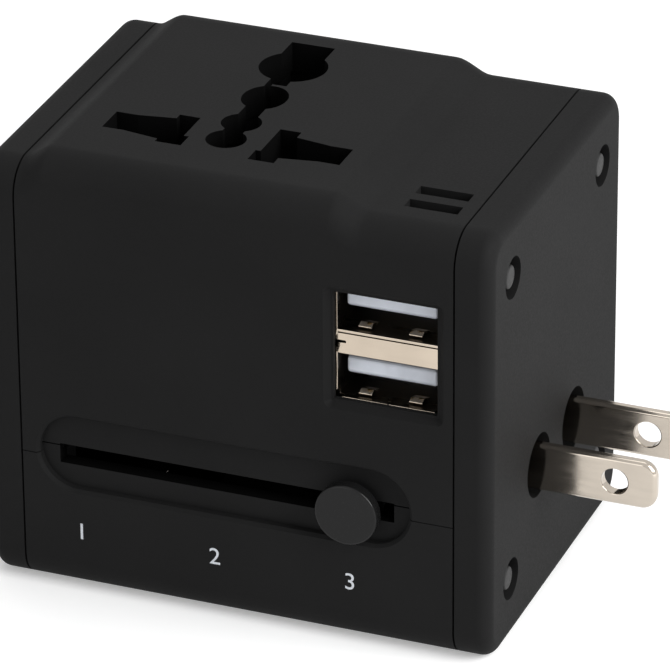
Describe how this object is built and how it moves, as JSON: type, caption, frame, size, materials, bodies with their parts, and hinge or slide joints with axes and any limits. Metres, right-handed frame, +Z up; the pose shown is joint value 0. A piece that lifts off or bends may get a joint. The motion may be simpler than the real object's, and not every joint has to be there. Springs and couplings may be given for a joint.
{
  "type": "travel adapter",
  "caption": "Block-shaped travel plug adapter with a sliding plug selector, turning flat blades, universal socket on top and a double charging port.",
  "frame": {"origin": "centre of the casing's footprint, on the base face", "axes": "+X towards the flat blades, +Y towards the back, +Z up; the selector faces -Y"},
  "size_m": [0.0806, 0.0491, 0.0586],
  "materials": {
    "black_plastic": "fine matte moulded",
    "carriage_plastic": "matte moulded",
    "knob_plastic": "matte moulded",
    "nickel": "nickel plated, satin",
    "usb_nickel": "nickel plated sheet",
    "spring_steel": "drawn wire",
    "contact_brass": "stamped strip",
    "contact_gold": "gold flashed",
    "insulator": "matte moulded",
    "tongue_plastic": "smooth moulded",
    "board": "solder mask",
    "ferrite": "pressed ferrite",
    "tape": "polyester tape",
    "capacitor_can": "sleeved can",
    "fuse_glass": "ceramic tube"
  },
  "bodies": {
    "casing": {"upper_shell": "black_plastic", "lower_shell": "black_plastic", "left_end_plate": "black_plastic", "right_end_plate": "black_plastic", "left_plate_pins": "black_plastic", "right_plate_pins": "black_plastic", "euro_tray": "black_plastic", "euro_hinge_pin": "spring_steel", "socket_block": "insulator", "live_contact": "contact_brass", "neutral_contact": "contact_brass", "neutral_link": "contact_brass", "live_rail": "contact_brass", "neutral_rail": "contact_brass", "usb_shell": "usb_nickel", "usb_tongues": "tongue_plastic", "usb_contacts": "contact_gold", "charger_board": "board", "transformer_core": "ferrite", "transformer_winding": "tape", "capacitors": "capacitor_can", "fuse": "fuse_glass"},
    "carriage": {"carriage": "carriage_plastic", "uk_live_pin": "nickel", "uk_neutral_pin": "nickel", "uk_earth_pin": "black_plastic", "uk_pin_sleeves": "black_plastic", "detent_spring": "spring_steel", "live_wiper": "contact_brass", "neutral_wiper": "contact_brass", "knob_spring": "spring_steel"},
    "knob": {"knob": "knob_plastic"},
    "front_blade_set": {"front_turret": "carriage_plastic", "front_blade": "nickel"},
    "rear_blade_set": {"rear_turret": "carriage_plastic", "rear_blade": "nickel"},
    "euro_plug": {"euro_block": "black_plastic", "euro_live_pin": "nickel", "euro_neutral_pin": "nickel", "euro_pin_sleeves": "black_plastic"}
  },
  "joints": [
    {"name": "selector_slide", "type": "slide", "parent": "casing", "child": "carriage", "axis": [1, 0, 0], "range_m": [-0.0352, 0]},
    {"name": "knob_push", "type": "slide", "parent": "carriage", "child": "knob", "axis": [0, 1, 0], "range_m": [0, 0.0008], "stiffness_N_per_m": 400, "springref_m": -0.002, "deforming": ["knob_spring"]},
    {"name": "front_blade_turn", "type": "hinge", "parent": "carriage", "child": "front_blade_set", "pos_m": [0.0275, -0.00635, 0.0191], "axis": [1, 0, 0], "range_deg": [0, 30]},
    {"name": "rear_blade_turn", "type": "hinge", "parent": "carriage", "child": "rear_blade_set", "pos_m": [0.0275, 0.00635, 0.0191], "axis": [1, 0, 0], "range_deg": [-30, 0]},
    {"name": "euro_plug_fold", "type": "hinge", "parent": "casing", "child": "euro_plug", "pos_m": [0, 0.0208, 0.0098], "axis": [1, 0, 0], "range_deg": [-90, 0]}
  ]
}
